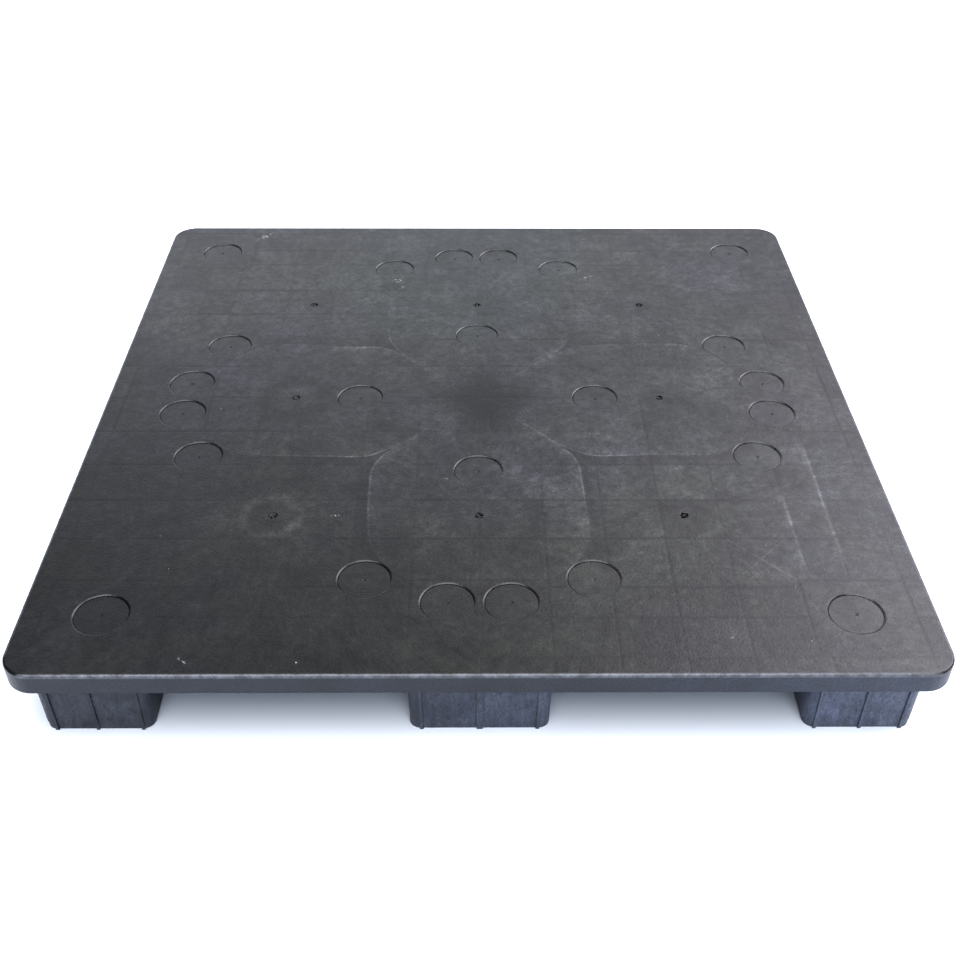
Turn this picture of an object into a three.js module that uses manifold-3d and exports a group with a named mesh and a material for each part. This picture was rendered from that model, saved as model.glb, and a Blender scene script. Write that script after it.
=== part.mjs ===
// Square closed-deck plastic pallet on nine feet.
// It is a ribbed deck moulding, nine hollow feet that snap into collars under the deck,
// and round discs set into shallow pockets in the deck's top face.
// Millimetres, +Z up. The origin is on the floor, under the middle of the deck.
import * as THREE from "three";
import { mergeVertices } from "three/addons/utils/BufferGeometryUtils.js";
import Module from "manifold-3d";

// Overall size
const deckSide = 1200;
const totalHeight = 135;
const deckDepth = 32; // from the top face to the lower edge of the skirt
const deckCornerRadius = 40;
const topEdgeRound = 3;
const clearance = 0.3; // between pieces that touch

// Deck moulding
const plateThickness = 5;
const skirtThickness = 5;
const ribThickness = 3.5;
const ribRaise = 3; // from the skirt's lower edge up to the ribs' lower edges
const ribBays = 4; // between a middle foot and a corner foot
const cornerRibOffset = 57; // from a corner foot's centre line to the rib beside it

// Feet, which stand in three rows of three
const footRow = 500; // from the middle of the deck to the centre lines of the outer rows
const narrowHalf = 72; // half the width of a foot across an outer row
const wideHalf = 94; // half the width of a foot across a middle row
const footDraft = 1.5; // how much each face leans in, from the top to the floor
const footBase = 5;
const innerCornerRadius = 15;
const outerCornerRadius = 12;
const middleCornerRadius = 14;
const cellWall = 3; // inside walls, and the wall of the spigot
const finThickness = 4;
const centreFinThickness = 8; // the middle fin on a wide face
const finReach = 2.5; // how far the fins stand out
const narrowFinPitch = 58;
const narrowFinShift = 3; // the middle fin on a narrow face, towards the outer corner
const wideFinPitch = 78;

// Snap joint between a foot's spigot and the collar under the deck
const collarWall = 3.5;
const spigotRise = 23;
const hookOffset = 35; // from the foot's centre line, clear of the deck ribs
const hookWidth = 24;
const hookReach = 3;
const hookHeight = 6;
const hookTip = 1.5; // thickness of a hook's outer edge
const hookRise = 8; // from the collar's lower edge up to the hook's ledge

// Round discs and their pockets
const pocketRadius = 35.5;
const pocketDepth = 3.6;
const discSink = 1.8; // from the deck's top face down to the disc's face
const cornerDisc = 493;
const pairDisc = { along: 42.5, out: 471 };
const outerDisc = { along: 155.3, out: 426.3 };
const innerDisc = 190.7;

const circleSegments = 24;
const cornerSegments = 3;
const overcut = 1; // how far a cutter runs past the face it opens
const skirtBottom = totalHeight - deckDepth;
const plateBottom = totalHeight - plateThickness;

const wasm = await Module();
wasm.setup();

// A closed geometry as a manifold solid.
function solidFrom(geometry) {
  const bare = geometry.clone();
  bare.deleteAttribute("normal");
  bare.deleteAttribute("uv");
  const merged = mergeVertices(bare, 1e-4);
  const mesh = new wasm.Mesh({
    numProp: 3,
    vertProperties: merged.attributes.position.array,
    triVerts: new Uint32Array(merged.index.array),
  });
  return new wasm.Manifold(mesh);
}

// A manifold solid as a geometry with flat faces.
function geometryFrom(solid) {
  const mesh = solid.getMesh();
  const indexed = new THREE.BufferGeometry();
  indexed.setAttribute("position", new THREE.BufferAttribute(mesh.vertProperties, 3));
  indexed.setIndex(new THREE.BufferAttribute(mesh.triVerts, 1));
  const geometry = indexed.toNonIndexed();
  geometry.computeVertexNormals();
  return geometry;
}

// A rectangle about the origin with round corners.
// Radii run from the corner at -X -Y on to +X -Y, +X +Y and -X +Y.
function roundedRectangle(halfX, halfY, radii) {
  const centres = [
    [-halfX + radii[0], -halfY + radii[0]],
    [halfX - radii[1], -halfY + radii[1]],
    [halfX - radii[2], halfY - radii[2]],
    [-halfX + radii[3], halfY - radii[3]],
  ];
  const shape = new THREE.Shape();
  centres.forEach(([x, y], corner) => {
    const start = Math.PI + (corner * Math.PI) / 2;
    shape.absarc(x, y, radii[corner], start, start + Math.PI / 2, false);
  });
  return shape;
}

// A straight prism of a shape between two heights.
function prism(shape, low, high) {
  const options = { depth: high - low, bevelEnabled: false, curveSegments: cornerSegments };
  return new THREE.ExtrudeGeometry(shape, options).translate(0, 0, low);
}

// A box given by its lowest and highest corners.
function boxBetween(low, high) {
  const size = high.map((value, axis) => value - low[axis]);
  const middle = high.map((value, axis) => (value + low[axis]) / 2);
  return solidFrom(new THREE.BoxGeometry(...size).translate(...middle));
}

// A short upright cylinder between two heights.
function roundBlock(radius, x, y, low, high) {
  const cylinder = new THREE.CylinderGeometry(radius, radius, high - low, circleSegments);
  return solidFrom(cylinder.rotateX(Math.PI / 2).translate(x, y, (low + high) / 2));
}

// Both signs of a distance, or zero once.
function mirrored(distances) {
  return distances.flatMap((distance) => (distance === 0 ? [0] : [-distance, distance]));
}

// The nine feet: where each stands, its half widths, its corner radii, the turn that brings
// its outward faces to the outside, and the fins on each outward face.
function footPlan() {
  const narrowPlaces = [-narrowFinPitch, -narrowFinShift, narrowFinPitch];
  const narrowFins = narrowPlaces.map((at) => ({ at, thickness: finThickness }));
  const wideFins = [-wideFinPitch, 0, wideFinPitch].map((at) => ({
    at,
    thickness: at === 0 ? centreFinThickness : finThickness,
  }));
  const corner = {
    place: [-footRow, -footRow],
    halves: [narrowHalf, narrowHalf],
    radii: [outerCornerRadius, innerCornerRadius, innerCornerRadius, innerCornerRadius],
    cells: [2, 2],
    fins: { front: narrowFins, left: narrowFins },
  };
  const side = {
    place: [0, -footRow],
    halves: [wideHalf, narrowHalf],
    radii: Array(4).fill(middleCornerRadius),
    cells: [3, 2],
    fins: { front: wideFins, left: [] },
  };
  const centre = {
    place: [0, 0],
    halves: [wideHalf, wideHalf],
    radii: Array(4).fill(middleCornerRadius),
    cells: [3, 3],
    fins: { front: [], left: [] },
  };
  return [
    { name: "foot_front_left", kind: corner, quarterTurns: 0 },
    { name: "foot_front_right", kind: corner, quarterTurns: 1 },
    { name: "foot_back_right", kind: corner, quarterTurns: 2 },
    { name: "foot_back_left", kind: corner, quarterTurns: 3 },
    { name: "foot_front_middle", kind: side, quarterTurns: 0 },
    { name: "foot_middle_right", kind: side, quarterTurns: 1 },
    { name: "foot_back_middle", kind: side, quarterTurns: 2 },
    { name: "foot_middle_left", kind: side, quarterTurns: 3 },
    { name: "foot_centre", kind: centre, quarterTurns: 0 },
  ];
}

// A foot's plan outline, drawn in by an inset.
function footOutline(kind, inset) {
  const [halfX, halfY] = kind.halves;
  return roundedRectangle(halfX - inset, halfY - inset, kind.radii.map((radius) => radius - inset));
}

// The outer body of a foot, which leans in towards the floor.
function footBody(kind, top) {
  const geometry = prism(footOutline(kind, 0), 0, top);
  const position = geometry.attributes.position;
  for (let i = 0; i < position.count; i += 1) {
    const lean = footDraft * (1 - position.getZ(i) / top);
    position.setX(i, position.getX(i) * (1 - lean / kind.halves[0]));
    position.setY(i, position.getY(i) * (1 - lean / kind.halves[1]));
  }
  return solidFrom(geometry);
}

// A fin on the +X side of a face at x = face, leaning in towards the floor with it.
function uprightFin(face, thickness, top) {
  const root = face - footDraft - cellWall;
  const profile = new THREE.Shape([
    new THREE.Vector2(root, 0),
    new THREE.Vector2(face - footDraft + finReach, 0),
    new THREE.Vector2(face + finReach, top),
    new THREE.Vector2(root, top),
  ]);
  const fin = new THREE.ExtrudeGeometry(profile, { depth: thickness, bevelEnabled: false });
  fin.rotateX(Math.PI / 2);
  fin.translate(0, thickness / 2, 0);
  return solidFrom(fin);
}

// The fins on a foot's outward faces: front is -Y and left is -X.
function footFins(kind, top) {
  const [halfX, halfY] = kind.halves;
  const front = kind.fins.front.map(({ at, thickness }) =>
    uprightFin(halfY, thickness, top).rotate([0, 0, -90]).translate([at, 0, 0]),
  );
  const left = kind.fins.left.map(({ at, thickness }) =>
    uprightFin(halfX, thickness, top).rotate([0, 0, 180]).translate([0, at, 0]),
  );
  return [...front, ...left];
}

// The cells that hollow a foot out from above, with thin walls between them.
function footCells(kind, top) {
  const inset = collarWall + clearance + cellWall;
  const spans = kind.halves.map((half) => 2 * (half - inset));
  const sizes = spans.map((span, axis) => {
    const count = kind.cells[axis];
    return (span - (count - 1) * cellWall) / count;
  });
  const cells = [];
  for (let column = 0; column < kind.cells[0]; column += 1) {
    for (let row = 0; row < kind.cells[1]; row += 1) {
      const x = -spans[0] / 2 + column * (sizes[0] + cellWall);
      const y = -spans[1] / 2 + row * (sizes[1] + cellWall);
      cells.push(boxBetween([x, y, footBase], [x + sizes[0], y + sizes[1], top + overcut]));
    }
  }
  const inside = solidFrom(prism(footOutline(kind, inset), 0, top + 2 * overcut));
  return cells.map((cell) => cell.intersect(inside));
}

// One snap hook on the +X face of a spigot: a flat ledge below, sloping in above.
function snapHook(face, y) {
  const profile = new THREE.Shape([
    new THREE.Vector2(-overcut, 0),
    new THREE.Vector2(hookReach, 0),
    new THREE.Vector2(hookReach, hookTip),
    new THREE.Vector2(-overcut, hookHeight),
  ]);
  const options = { depth: hookWidth, bevelEnabled: false };
  const hook = new THREE.ExtrudeGeometry(profile, options);
  hook.rotateX(Math.PI / 2);
  hook.translate(face, y + hookWidth / 2, skirtBottom + hookRise);
  return solidFrom(hook);
}

// A whole foot about its own centre line, standing on the floor.
function makeFoot(kind) {
  const bodyTop = skirtBottom - clearance;
  const spigotTop = skirtBottom + spigotRise;
  const spigotInset = collarWall + clearance;
  const spigot = solidFrom(prism(footOutline(kind, spigotInset), bodyTop - overcut, spigotTop));
  let foot = footBody(kind, bodyTop).add(spigot);
  footFins(kind, bodyTop).forEach((fin) => {
    foot = foot.add(fin);
  });
  const face = kind.halves[0] - spigotInset;
  mirrored([hookOffset]).forEach((y) => {
    foot = foot.add(snapHook(face, y));
    foot = foot.add(snapHook(face, y).rotate([0, 0, 180]));
  });
  footCells(kind, spigotTop).forEach((cell) => {
    foot = foot.subtract(cell);
  });
  return geometryFrom(foot);
}

// Places something made for one foot at that foot, turned to face outwards.
function placeAtFoot(solid, { kind, quarterTurns }) {
  return solid.translate([...kind.place, 0]).rotate([0, 0, 90 * quarterTurns]);
}

// Where the round discs are: one in each corner, a pair and two outer ones along each side,
// and one between the centre foot and each side.
function discPlaces() {
  const side = [
    [-cornerDisc, -cornerDisc],
    [-pairDisc.along, -pairDisc.out],
    [pairDisc.along, -pairDisc.out],
    [-outerDisc.along, -outerDisc.out],
    [outerDisc.along, -outerDisc.out],
    [0, -innerDisc],
  ];
  return [0, 1, 2, 3].flatMap((turn) => {
    const cos = Math.round(Math.cos((turn * Math.PI) / 2));
    const sin = Math.round(Math.sin((turn * Math.PI) / 2));
    return side.map(([x, y]) => [cos * x - sin * y, sin * x + cos * y]);
  });
}

// Centre lines of the ribs on one side of the middle: the middle line, four equal bays from
// the middle collars to the corner ones, the lines through the outer feet, and the perimeter.
function ribLines() {
  const first = wideHalf - collarWall / 2;
  const last = footRow - narrowHalf + collarWall / 2;
  const bay = (last - first) / ribBays;
  const bayLines = Array.from({ length: ribBays }, (_, index) => first + index * bay);
  const perimeter = footRow + narrowHalf - collarWall / 2;
  return [0, ...bayLines, footRow - cornerRibOffset, footRow, perimeter];
}

// The plate and skirt: a shallow tray, open below, with a rounded top edge.
function deckTray() {
  const half = deckSide / 2;
  const core = half - topEdgeRound;
  const outline = roundedRectangle(core, core, Array(4).fill(deckCornerRadius - topEdgeRound));
  const options = {
    depth: deckDepth,
    bevelSize: topEdgeRound,
    bevelThickness: topEdgeRound,
    bevelSegments: 2,
    curveSegments: 2 * cornerSegments,
  };
  const block = new THREE.ExtrudeGeometry(outline, options);
  block.translate(0, 0, skirtBottom - topEdgeRound);
  const below = boxBetween([-half, -half, 0], [half, half, skirtBottom]);
  const innerHalf = half - skirtThickness;
  const innerRadii = Array(4).fill(deckCornerRadius - skirtThickness);
  const inner = roundedRectangle(innerHalf, innerHalf, innerRadii);
  const hollow = solidFrom(prism(inner, skirtBottom - overcut, plateBottom));
  return solidFrom(block).subtract(below).subtract(hollow);
}

// The rib grid under the plate, trimmed to the inside of the skirt.
function deckRibs() {
  const reach = deckSide / 2 - skirtThickness / 2;
  const low = skirtBottom + ribRaise;
  const high = plateBottom + overcut;
  const half = ribThickness / 2;
  const radii = Array(4).fill(deckCornerRadius - skirtThickness / 2);
  const ribs = mirrored(ribLines()).flatMap((line) => [
    boxBetween([-reach, line - half, low], [reach, line + half, high]),
    boxBetween([line - half, -reach, low], [line + half, reach, high]),
  ]);
  const grid = ribs.reduce((joined, rib) => joined.add(rib));
  const limit = solidFrom(prism(roundedRectangle(reach, reach, radii), skirtBottom, totalHeight));
  return grid.intersect(limit);
}

// The whole deck moulding.
function makeDeck() {
  const feet = footPlan();
  let deck = deckTray().add(deckRibs());
  feet.forEach((foot) => {
    const collar = solidFrom(prism(footOutline(foot.kind, 0), skirtBottom, plateBottom + overcut));
    const socket = prism(footOutline(foot.kind, collarWall), skirtBottom - overcut, plateBottom);
    deck = deck.add(placeAtFoot(collar, foot));
    deck = deck.subtract(placeAtFoot(solidFrom(socket), foot));
    deck = deck.subtract(placeAtFoot(snapWindows(foot.kind), foot));
  });
  discPlaces().forEach(([x, y]) => {
    const floor = totalHeight - pocketDepth;
    deck = deck.subtract(roundBlock(pocketRadius, x, y, floor, totalHeight + overcut));
  });
  return geometryFrom(deck);
}

// The windows in a collar that the snap hooks spring into.
function snapWindows(kind) {
  const face = kind.halves[0];
  const low = skirtBottom + hookRise - clearance;
  const high = skirtBottom + hookRise + hookHeight + clearance;
  const half = hookWidth / 2 + clearance;
  const depth = collarWall + overcut;
  const windows = mirrored([hookOffset]).flatMap((y) => [
    boxBetween([face - depth, y - half, low], [face + overcut, y + half, high]),
    boxBetween([-face - overcut, y - half, low], [-face + depth, y + half, high]),
  ]);
  return windows.reduce((joined, window) => joined.add(window));
}

// A thin round disc, lying in its pocket, about its own centre line.
function makeDisc() {
  const low = totalHeight - pocketDepth + clearance;
  const face = totalHeight - discSink;
  return geometryFrom(roundBlock(pocketRadius - clearance, 0, 0, low, face));
}

const deckPlastic = new THREE.MeshStandardMaterial({ color: 0x3d3d40, roughness: 0.5, metalness: 0 });
const footPlastic = new THREE.MeshStandardMaterial({ color: 0x343842, roughness: 0.55, metalness: 0 });
const discPlastic = new THREE.MeshStandardMaterial({ color: 0x39393c, roughness: 0.55, metalness: 0 });

// Adds a named mesh to a group.
function addPiece(group, name, geometry, material) {
  const mesh = new THREE.Mesh(geometry, material);
  mesh.name = name;
  group.add(mesh);
  return mesh;
}

const pallet = new THREE.Group();
addPiece(pallet, "deck", makeDeck(), deckPlastic);

const footGeometries = new Map();
footPlan().forEach(({ name, kind, quarterTurns }) => {
  const key = kind.place.join();
  if (!footGeometries.has(key)) footGeometries.set(key, makeFoot(kind));
  const turned = new THREE.Group();
  turned.rotation.z = (quarterTurns * Math.PI) / 2;
  addPiece(turned, name, footGeometries.get(key), footPlastic).position.set(...kind.place, 0);
  pallet.add(turned);
});

const discGeometry = makeDisc();
discPlaces().forEach(([x, y], index) => {
  const name = "disc_" + String(index + 1).padStart(2, "0");
  addPiece(pallet, name, discGeometry, discPlastic).position.set(x, y, 0);
});

export default pallet;
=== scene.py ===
"""Looks of a square closed-deck plastic pallet on nine feet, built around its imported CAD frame.

Everything is in metres in the frame of the CAD model: +Z up, the origin on the floor under the
middle of the deck. The deck, the feet and the discs are each rebuilt as finer meshes in the place
of their CAD solids, with procedural materials for moulded dark polyethylene.
"""
import math
import random

import bmesh
import bpy
from mathutils import Matrix, Vector
from mathutils.geometry import delaunay_2d_cdt


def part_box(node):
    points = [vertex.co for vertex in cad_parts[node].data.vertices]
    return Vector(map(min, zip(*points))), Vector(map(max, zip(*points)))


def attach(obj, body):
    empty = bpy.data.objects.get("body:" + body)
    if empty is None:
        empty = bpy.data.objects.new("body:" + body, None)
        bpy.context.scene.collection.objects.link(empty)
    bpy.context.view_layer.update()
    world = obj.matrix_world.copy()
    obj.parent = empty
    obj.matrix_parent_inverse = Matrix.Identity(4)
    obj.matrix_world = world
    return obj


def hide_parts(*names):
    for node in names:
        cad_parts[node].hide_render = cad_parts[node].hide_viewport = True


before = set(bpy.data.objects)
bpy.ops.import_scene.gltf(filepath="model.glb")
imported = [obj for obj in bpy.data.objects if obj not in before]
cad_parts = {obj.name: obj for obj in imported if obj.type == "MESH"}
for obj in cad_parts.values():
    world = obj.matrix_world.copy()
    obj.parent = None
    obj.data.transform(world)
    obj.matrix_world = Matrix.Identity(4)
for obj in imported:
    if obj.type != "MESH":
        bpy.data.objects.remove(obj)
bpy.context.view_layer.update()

MM = 0.001
SEED = 20
CUT_TOLERANCE = 1e-7
MERGE_DISTANCE = 1e-6
SHARP_ANGLE = 32  # degrees between faces from which an edge is shaded sharp
FOOT_CORNER_STEPS = 12
DECK_CORNER_STEPS = 24
EDGE_STEPS = 8
DISC_STEPS = 72

# ---------------------------------------------------------------- sizes

DECK_LOW, DECK_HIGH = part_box("deck")
HALF = DECK_HIGH.x
TOP = DECK_HIGH.z
SKIRT_BOTTOM = DECK_LOW.z
PLATE_BOTTOM = TOP - 5 * MM
RIB_BOTTOM = SKIRT_BOTTOM + 3 * MM
CORNER_RADIUS = 40 * MM
SKIRT_WALL = 5 * MM
EDGE_ROUND = 3.5 * MM
EDGE_ROUND_ACROSS = 4.2 * MM
EDGE_BREAK = 0.8 * MM
RIB_WALL = 3.5 * MM
COLLAR_WALL = 3.5 * MM
CLEARANCE = 0.3 * MM
SLIVER = 0.05 * MM  # slivers of the plan this thin belong to the wall beside them

FOOT_TOP = SKIRT_BOTTOM - CLEARANCE
FOOT_ROW = 500 * MM
NARROW_HALF = 72 * MM
WIDE_HALF = 94 * MM
OUTER_CORNER = 12 * MM
INNER_CORNER = 15 * MM
MIDDLE_CORNER = 14 * MM
FOOT_DRAFT = 1.5 * MM
FOOT_BASE = 5 * MM
FOOT_WALL = 3 * MM
SPIGOT_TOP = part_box("foot_centre")[1].z
FIN_REACH = 2.5 * MM
FIN_WALL = 4 * MM
CENTRE_FIN_WALL = 8 * MM
NARROW_FIN_PITCH = 58 * MM
NARROW_FIN_SHIFT = 3 * MM
WIDE_FIN_PITCH = 78 * MM

HOOK_OFFSET = 35 * MM
HOOK_WIDTH = 24 * MM
HOOK_REACH = 3 * MM
HOOK_LEDGE = SKIRT_BOTTOM + 8 * MM
HOOK_TOP = HOOK_LEDGE + 6 * MM

POCKET_RADIUS = 35.5 * MM
GATE_PITCH = 295 * MM
DISC_NODES = sorted(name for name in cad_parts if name.startswith("disc_"))
DISC_CENTRES = {name: sum(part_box(name), Vector()) / 2 for name in DISC_NODES}

CORNER_RIB_OFFSET = 57 * MM
RIB_FIRST = WIDE_HALF - COLLAR_WALL / 2
RIB_BAY = (FOOT_ROW - NARROW_HALF + COLLAR_WALL / 2 - RIB_FIRST) / 4
RIB_LINES = [RIB_FIRST + RIB_BAY * bay for bay in range(4)]
RIB_LINES += [FOOT_ROW - CORNER_RIB_OFFSET, FOOT_ROW, FOOT_ROW + NARROW_HALF - COLLAR_WALL / 2]


# ---------------------------------------------------------------- plan shapes


def rounded_rectangle(half_x, half_y, radii, steps):
    """Points round a rectangle with round corners, from the -X -Y corner on, anticlockwise."""
    signs = [(-1, -1), (1, -1), (1, 1), (-1, 1)]
    points = []
    for corner, (sign_x, sign_y) in enumerate(signs):
        radius = radii[corner]
        centre = (sign_x * (half_x - radius), sign_y * (half_y - radius))
        for step in range(steps + 1):
            angle = math.pi * (1 + corner / 2 + step / steps / 2)
            x, y = radius * math.cos(angle), radius * math.sin(angle)
            points.append((centre[0] + x, centre[1] + y))
    return points


def rectangle(low_x, low_y, high_x, high_y):
    return [(low_x, low_y), (high_x, low_y), (high_x, high_y), (low_x, high_y)]


def in_any(x, y, boxes):
    return any(low_x < x < high_x and low_y < y < high_y for low_x, low_y, high_x, high_y in boxes)


def circle(centre, radius, steps):
    turn = 2 * math.pi / steps
    return [
        (centre[0] + radius * math.cos(turn * step), centre[1] + radius * math.sin(turn * step))
        for step in range(steps)
    ]


def quarter_turn(turns):
    """The cosine and sine of a number of quarter turns."""
    return round(math.cos(turns * math.pi / 2)), round(math.sin(turns * math.pi / 2))


def turned(points, place, turns):
    """Points moved to a foot's place and turned with it about the middle of the deck."""
    cos, sin = quarter_turn(turns)
    moved = [(x + place[0], y + place[1]) for x, y in points]
    return [(cos * x - sin * y, sin * x + cos * y) for x, y in moved]


def inside_rounded(x, y, half_x, half_y, radii):
    """Whether a point about the origin is inside a rounded rectangle."""
    if abs(x) > half_x or abs(y) > half_y:
        return False
    corners = {(False, False): 0, (True, False): 1, (True, True): 2, (False, True): 3}
    radius = radii[corners[(x > 0, y > 0)]]
    over_x = abs(x) - (half_x - radius)
    over_y = abs(y) - (half_y - radius)
    return over_x <= 0 or over_y <= 0 or math.hypot(over_x, over_y) <= radius


def both_signs(values):
    return [sign * value for value in values for sign in ((-1, 1) if value else (1,))]


# ---------------------------------------------------------------- the nine feet's plan


def corner_foot():
    pitches = [-NARROW_FIN_PITCH, -NARROW_FIN_SHIFT, NARROW_FIN_PITCH]
    return {
        "place": (-FOOT_ROW, -FOOT_ROW),
        "halves": (NARROW_HALF, NARROW_HALF),
        "radii": [OUTER_CORNER, INNER_CORNER, INNER_CORNER, INNER_CORNER],
        "cells": (2, 2),
        "front": [(pitch, FIN_WALL) for pitch in pitches],
        "left": [(pitch, FIN_WALL) for pitch in pitches],
    }


def side_foot():
    return {
        "place": (0, -FOOT_ROW),
        "halves": (WIDE_HALF, NARROW_HALF),
        "radii": [MIDDLE_CORNER] * 4,
        "cells": (3, 2),
        "front": [(-WIDE_FIN_PITCH, FIN_WALL), (0, CENTRE_FIN_WALL), (WIDE_FIN_PITCH, FIN_WALL)],
        "left": [],
    }


def centre_foot():
    return {
        "place": (0, 0),
        "halves": (WIDE_HALF, WIDE_HALF),
        "radii": [MIDDLE_CORNER] * 4,
        "cells": (3, 3),
        "front": [],
        "left": [],
    }


FEET = [
    ("foot_front_left", corner_foot(), 0),
    ("foot_front_right", corner_foot(), 1),
    ("foot_back_right", corner_foot(), 2),
    ("foot_back_left", corner_foot(), 3),
    ("foot_front_middle", side_foot(), 0),
    ("foot_middle_right", side_foot(), 1),
    ("foot_back_middle", side_foot(), 2),
    ("foot_middle_left", side_foot(), 3),
    ("foot_centre", centre_foot(), 0),
]


def foot_outline(kind, inset):
    half_x, half_y = kind["halves"]
    radii = [radius - inset for radius in kind["radii"]]
    return rounded_rectangle(half_x - inset, half_y - inset, radii, FOOT_CORNER_STEPS)


def inside_foot(x, y, kind, inset):
    half_x, half_y = kind["halves"]
    radii = [radius - inset for radius in kind["radii"]]
    return inside_rounded(x, y, half_x - inset, half_y - inset, radii)


def to_foot(x, y, kind, turns):
    """A point of the deck in a foot's own plan."""
    cos, sin = quarter_turn(turns)
    return cos * x + sin * y - kind["place"][0], -sin * x + cos * y - kind["place"][1]


# ---------------------------------------------------------------- meshes from a plan


def triangulate(loops):
    """The plan cut along closed loops: its points, its anticlockwise triangles and, for each
    point, the numbers of the loop points it came from."""
    points, edges = [], []
    for loop in loops:
        start = len(points)
        points += [Vector(point) for point in loop]
        edges += [(start + i, start + (i + 1) % len(loop)) for i in range(len(loop))]
    points, _, faces, origins = delaunay_2d_cdt(points, edges, [], 0, CUT_TOLERANCE)[:4]
    triangles = []
    for face in faces:
        a, b, c = (points[i] for i in face)
        area = (b.x - a.x) * (c.y - a.y) - (c.x - a.x) * (b.y - a.y)
        triangles.append(tuple(face) if area > 0 else tuple(reversed(face)))
    return points, triangles, origins


def layered_faces(points, triangles, levels, spans_at, open_top=False):
    """A solid made of upright prisms over the plan's triangles.

    levels are the heights where anything changes. spans_at gives the heights that are filled at a
    point, as pairs of indices into levels. The result is corners (point, level) and faces of them.
    """
    filled = []
    for triangle in triangles:
        x = sum(points[i].x for i in triangle) / 3
        y = sum(points[i].y for i in triangle) / 3
        slabs = set()
        for low, high in spans_at(x, y):
            slabs.update(range(low, high))
        filled.append(slabs)
    owner = {}
    for index, triangle in enumerate(triangles):
        for i in range(3):
            owner[(triangle[i], triangle[(i + 1) % 3])] = index
    faces = []
    last = len(levels) - 1
    for index, triangle in enumerate(triangles):
        for slab in sorted(filled[index]):
            if slab - 1 not in filled[index]:
                faces.append([(i, slab) for i in reversed(triangle)])
            if slab + 1 not in filled[index] and not (open_top and slab + 1 == last):
                faces.append([(i, slab + 1) for i in triangle])
            for i in range(3):
                a, b = triangle[i], triangle[(i + 1) % 3]
                beside = owner.get((b, a))
                if beside is None or slab not in filled[beside]:
                    faces.append([(a, slab), (b, slab), (b, slab + 1), (a, slab + 1)])
    return faces


def placed(faces, place):
    """Faces of (point, level) keys as 3-D corners and faces of their numbers."""
    numbers, corners = {}, []
    for face in faces:
        for key in face:
            if key not in numbers:
                numbers[key] = len(corners)
                corners.append(place(*key))
    return corners, [[numbers[key] for key in face] for face in faces]


def mesh_from(name, corners, faces):
    """A mesh object from 3-D corners and faces of their indices, merged and cleaned."""
    mesh = bpy.data.meshes.new(name)
    mesh.from_pydata(corners, [], faces)
    shape = bmesh.new()
    shape.from_mesh(mesh)
    bmesh.ops.remove_doubles(shape, verts=shape.verts, dist=MERGE_DISTANCE)
    loose = [vert for vert in shape.verts if not vert.link_faces]
    bmesh.ops.delete(shape, geom=loose, context="VERTS")
    shape.to_mesh(mesh)
    shape.free()
    piece = bpy.data.objects.new(name, mesh)
    bpy.context.scene.collection.objects.link(piece)
    return piece


def soften(piece):
    """Smooth shading with sharp edges above an angle, and normals that keep flat faces flat."""
    piece.data.shade_smooth()
    piece.data.set_sharp_from_angle(angle=math.radians(SHARP_ANGLE))
    weighted = piece.modifiers.new("weighted", "WEIGHTED_NORMAL")
    weighted.mode = "FACE_AREA"
    weighted.weight = 60
    weighted.keep_sharp = True


# ---------------------------------------------------------------- deck

POCKET_STEPS = 120
# Distance outside the pocket's edge and drop below the top face: rounded rim, wall, floor.
POCKET_PROFILE = [
    (2.80 * MM, 0),
    (2.35 * MM, 0.08 * MM),
    (1.95 * MM, 0.24 * MM),
    (1.20 * MM, 0.66 * MM),
    (0.50 * MM, 1.06 * MM),
    (0.22 * MM, 1.30 * MM),
    (0.08 * MM, 1.65 * MM),
    (0.04 * MM, 3.20 * MM),
    (-0.08 * MM, 3.52 * MM),
    (-0.30 * MM, 3.60 * MM),
]
GATE_STEPS = 20
GATE_RAGGED = 0.42  # how much the radius and the depth of a gate mark vary round it
# Radius and drop below the top face: a ragged ring groove round a low stub.
GATE_PROFILE = [
    (7.2 * MM, 0),
    (6.2 * MM, 0.30 * MM),
    (5.6 * MM, 1.30 * MM),
    (4.6 * MM, 2.10 * MM),
    (3.5 * MM, 2.20 * MM),
    (2.8 * MM, 1.20 * MM),
    (2.0 * MM, 0.55 * MM),
    (1.0 * MM, 0.80 * MM),
]


def gate_centres():
    lines = (-GATE_PITCH, 0, GATE_PITCH)
    return [(x, y) for x in lines for y in lines if x or y]


def deck_top():
    """The top face: pockets, gate marks and the rounded edge, as corners and triangles."""
    rng = random.Random(SEED)
    loops, heights = [], []
    for step in range(EDGE_STEPS + 1):
        angle = math.pi / 2 * step / EDGE_STEPS
        inset = EDGE_ROUND_ACROSS * (1 - math.cos(angle))
        drop = EDGE_ROUND * (1 - math.sin(angle))
        half = HALF - inset
        loops.append(
            rounded_rectangle(half, half, [CORNER_RADIUS - inset] * 4, DECK_CORNER_STEPS)
        )
        heights.append([TOP - drop] * len(loops[-1]))
    for centre in DISC_CENTRES.values():
        for outside, drop in POCKET_PROFILE:
            loops.append(circle(centre, POCKET_RADIUS + outside, POCKET_STEPS))
            heights.append([TOP - drop] * POCKET_STEPS)
    for centre in gate_centres():
        ragged = [1 + GATE_RAGGED * (rng.random() - 0.5) for _ in range(GATE_STEPS)]
        for radius, drop in GATE_PROFILE:
            ring = circle((0, 0), radius, GATE_STEPS)
            loops.append([
                (centre[0] + x * reach, centre[1] + y * reach)
                for (x, y), reach in zip(ring, ragged)
            ])
            heights.append([TOP - drop * (1 + GATE_RAGGED * (rng.random() - 0.5)) for _ in ring])
    height_of = [height for loop_heights in heights for height in loop_heights]
    points, triangles, origins = triangulate(loops)
    corners = [(p.x, p.y, height_of[origin[0]]) for p, origin in zip(points, origins)]
    return corners, triangles


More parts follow.
